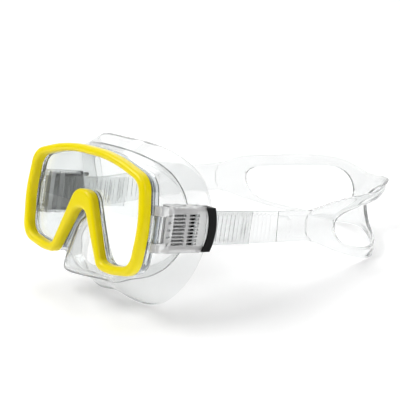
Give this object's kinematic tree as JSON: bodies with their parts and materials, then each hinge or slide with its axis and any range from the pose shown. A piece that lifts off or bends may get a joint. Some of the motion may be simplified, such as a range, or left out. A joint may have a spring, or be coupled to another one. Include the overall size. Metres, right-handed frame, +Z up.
{
  "type": "dive mask",
  "caption": "Single-lens dive mask: yellow bezel, clear silicone skirt with nose pocket, swivel buckles with release levers and a ribbed strap opening into a split headband.",
  "frame": {"origin": "middle of the bounding box at floor level; the mask stands on its skirt and headband", "axes": "+Y from the lens to the back of the head, +X to the wearer's left, +Z up"},
  "size_m": [0.1752, 0.3524, 0.1345],
  "materials": {
    "yellow_plastic": "gloss",
    "lens_glass": "polished",
    "clear_plastic": "clear gloss",
    "clear_silicone": "clear satin",
    "strap_silicone": "clear satin",
    "black_plastic": "satin",
    "steel_pin": "satin"
  },
  "bodies": {
    "mask": {"front_bezel": "yellow_plastic", "lens": "lens_glass", "lens_seal": "clear_silicone", "main_frame": "clear_plastic", "skirt": "clear_silicone", "left_swivel_pin": "steel_pin", "right_swivel_pin": "steel_pin"},
    "left_buckle": {"left_buckle_body": "clear_plastic", "left_roller_pin": "steel_pin", "left_lever_pin": "steel_pin", "left_strap_loop": "strap_silicone", "left_strap_run": "strap_silicone"},
    "left_lever": {"left_release_lever": "black_plastic"},
    "left_roller": {"left_strap_roller": "steel_pin"},
    "left_tail": {"left_strap_tail": "strap_silicone"},
    "right_buckle": {"right_buckle_body": "clear_plastic", "right_roller_pin": "steel_pin", "right_lever_pin": "steel_pin", "right_strap_loop": "strap_silicone", "right_strap_run": "strap_silicone"},
    "right_lever": {"right_release_lever": "black_plastic"},
    "right_roller": {"right_strap_roller": "steel_pin"},
    "right_tail": {"right_strap_tail": "strap_silicone"},
    "band": {"headband": "strap_silicone", "left_strap_web": "strap_silicone", "right_strap_web": "strap_silicone"}
  },
  "joints": [
    {"name": "left_swivel", "type": "hinge", "parent": "mask", "child": "left_buckle", "pos_m": [0.07498, -0.14576, 0.08192], "axis": [0, -0.2036, -0.979], "range_deg": [0, 20], "deforming": ["left_strap_run"]},
    {"name": "left_release", "type": "hinge", "parent": "left_buckle", "child": "left_lever", "pos_m": [0.07248, -0.10562, 0.07357], "axis": [0, 0.2036, 0.979], "range_deg": [0, 6], "stiffness_Nm_per_rad": 0.1, "springref_deg": -2.86},
    {"name": "left_tail_slide", "type": "slide", "parent": "left_buckle", "child": "left_tail", "axis": [0, 0.979, -0.2036], "range_m": [-0.012, 0.012]},
    {"name": "left_roll", "type": "hinge", "parent": "left_buckle", "child": "left_roller", "pos_m": [0.07218, -0.13205, 0.07907], "axis": [0, 0.2036, 0.979], "range_deg": [-480, 480]},
    {"name": "right_swivel", "type": "hinge", "parent": "mask", "child": "right_buckle", "pos_m": [-0.08202, -0.14576, 0.08192], "axis": [0, 0.2036, 0.979], "range_deg": [0, 20], "deforming": ["right_strap_run"]},
    {"name": "right_release", "type": "hinge", "parent": "right_buckle", "child": "right_lever", "pos_m": [-0.07952, -0.10562, 0.07357], "axis": [0, -0.2036, -0.979], "range_deg": [0, 6], "stiffness_Nm_per_rad": 0.1, "springref_deg": -2.86},
    {"name": "right_tail_slide", "type": "slide", "parent": "right_buckle", "child": "right_tail", "axis": [0, 0.979, -0.2036], "range_m": [-0.012, 0.012]},
    {"name": "right_roll", "type": "hinge", "parent": "right_buckle", "child": "right_roller", "pos_m": [-0.07922, -0.13205, 0.07907], "axis": [0, 0.2036, 0.979], "range_deg": [-480, 480]},
    {"name": "strap_adjust", "type": "slide", "parent": "mask", "child": "band", "axis": [0, 0.979, -0.2036], "range_m": [-0.012, 0.012], "deforming": ["left_strap_loop", "left_strap_run", "left_strap_web", "right_strap_loop", "right_strap_run", "right_strap_web"]}
  ],
  "couplings": [
    {"joint": "left_tail_slide", "follows": "strap_adjust", "ratio": -1},
    {"joint": "left_roll", "follows": "strap_adjust", "rad_per_m": -666.67},
    {"joint": "right_tail_slide", "follows": "strap_adjust", "ratio": -1},
    {"joint": "right_roll", "follows": "strap_adjust", "rad_per_m": 666.67}
  ]
}
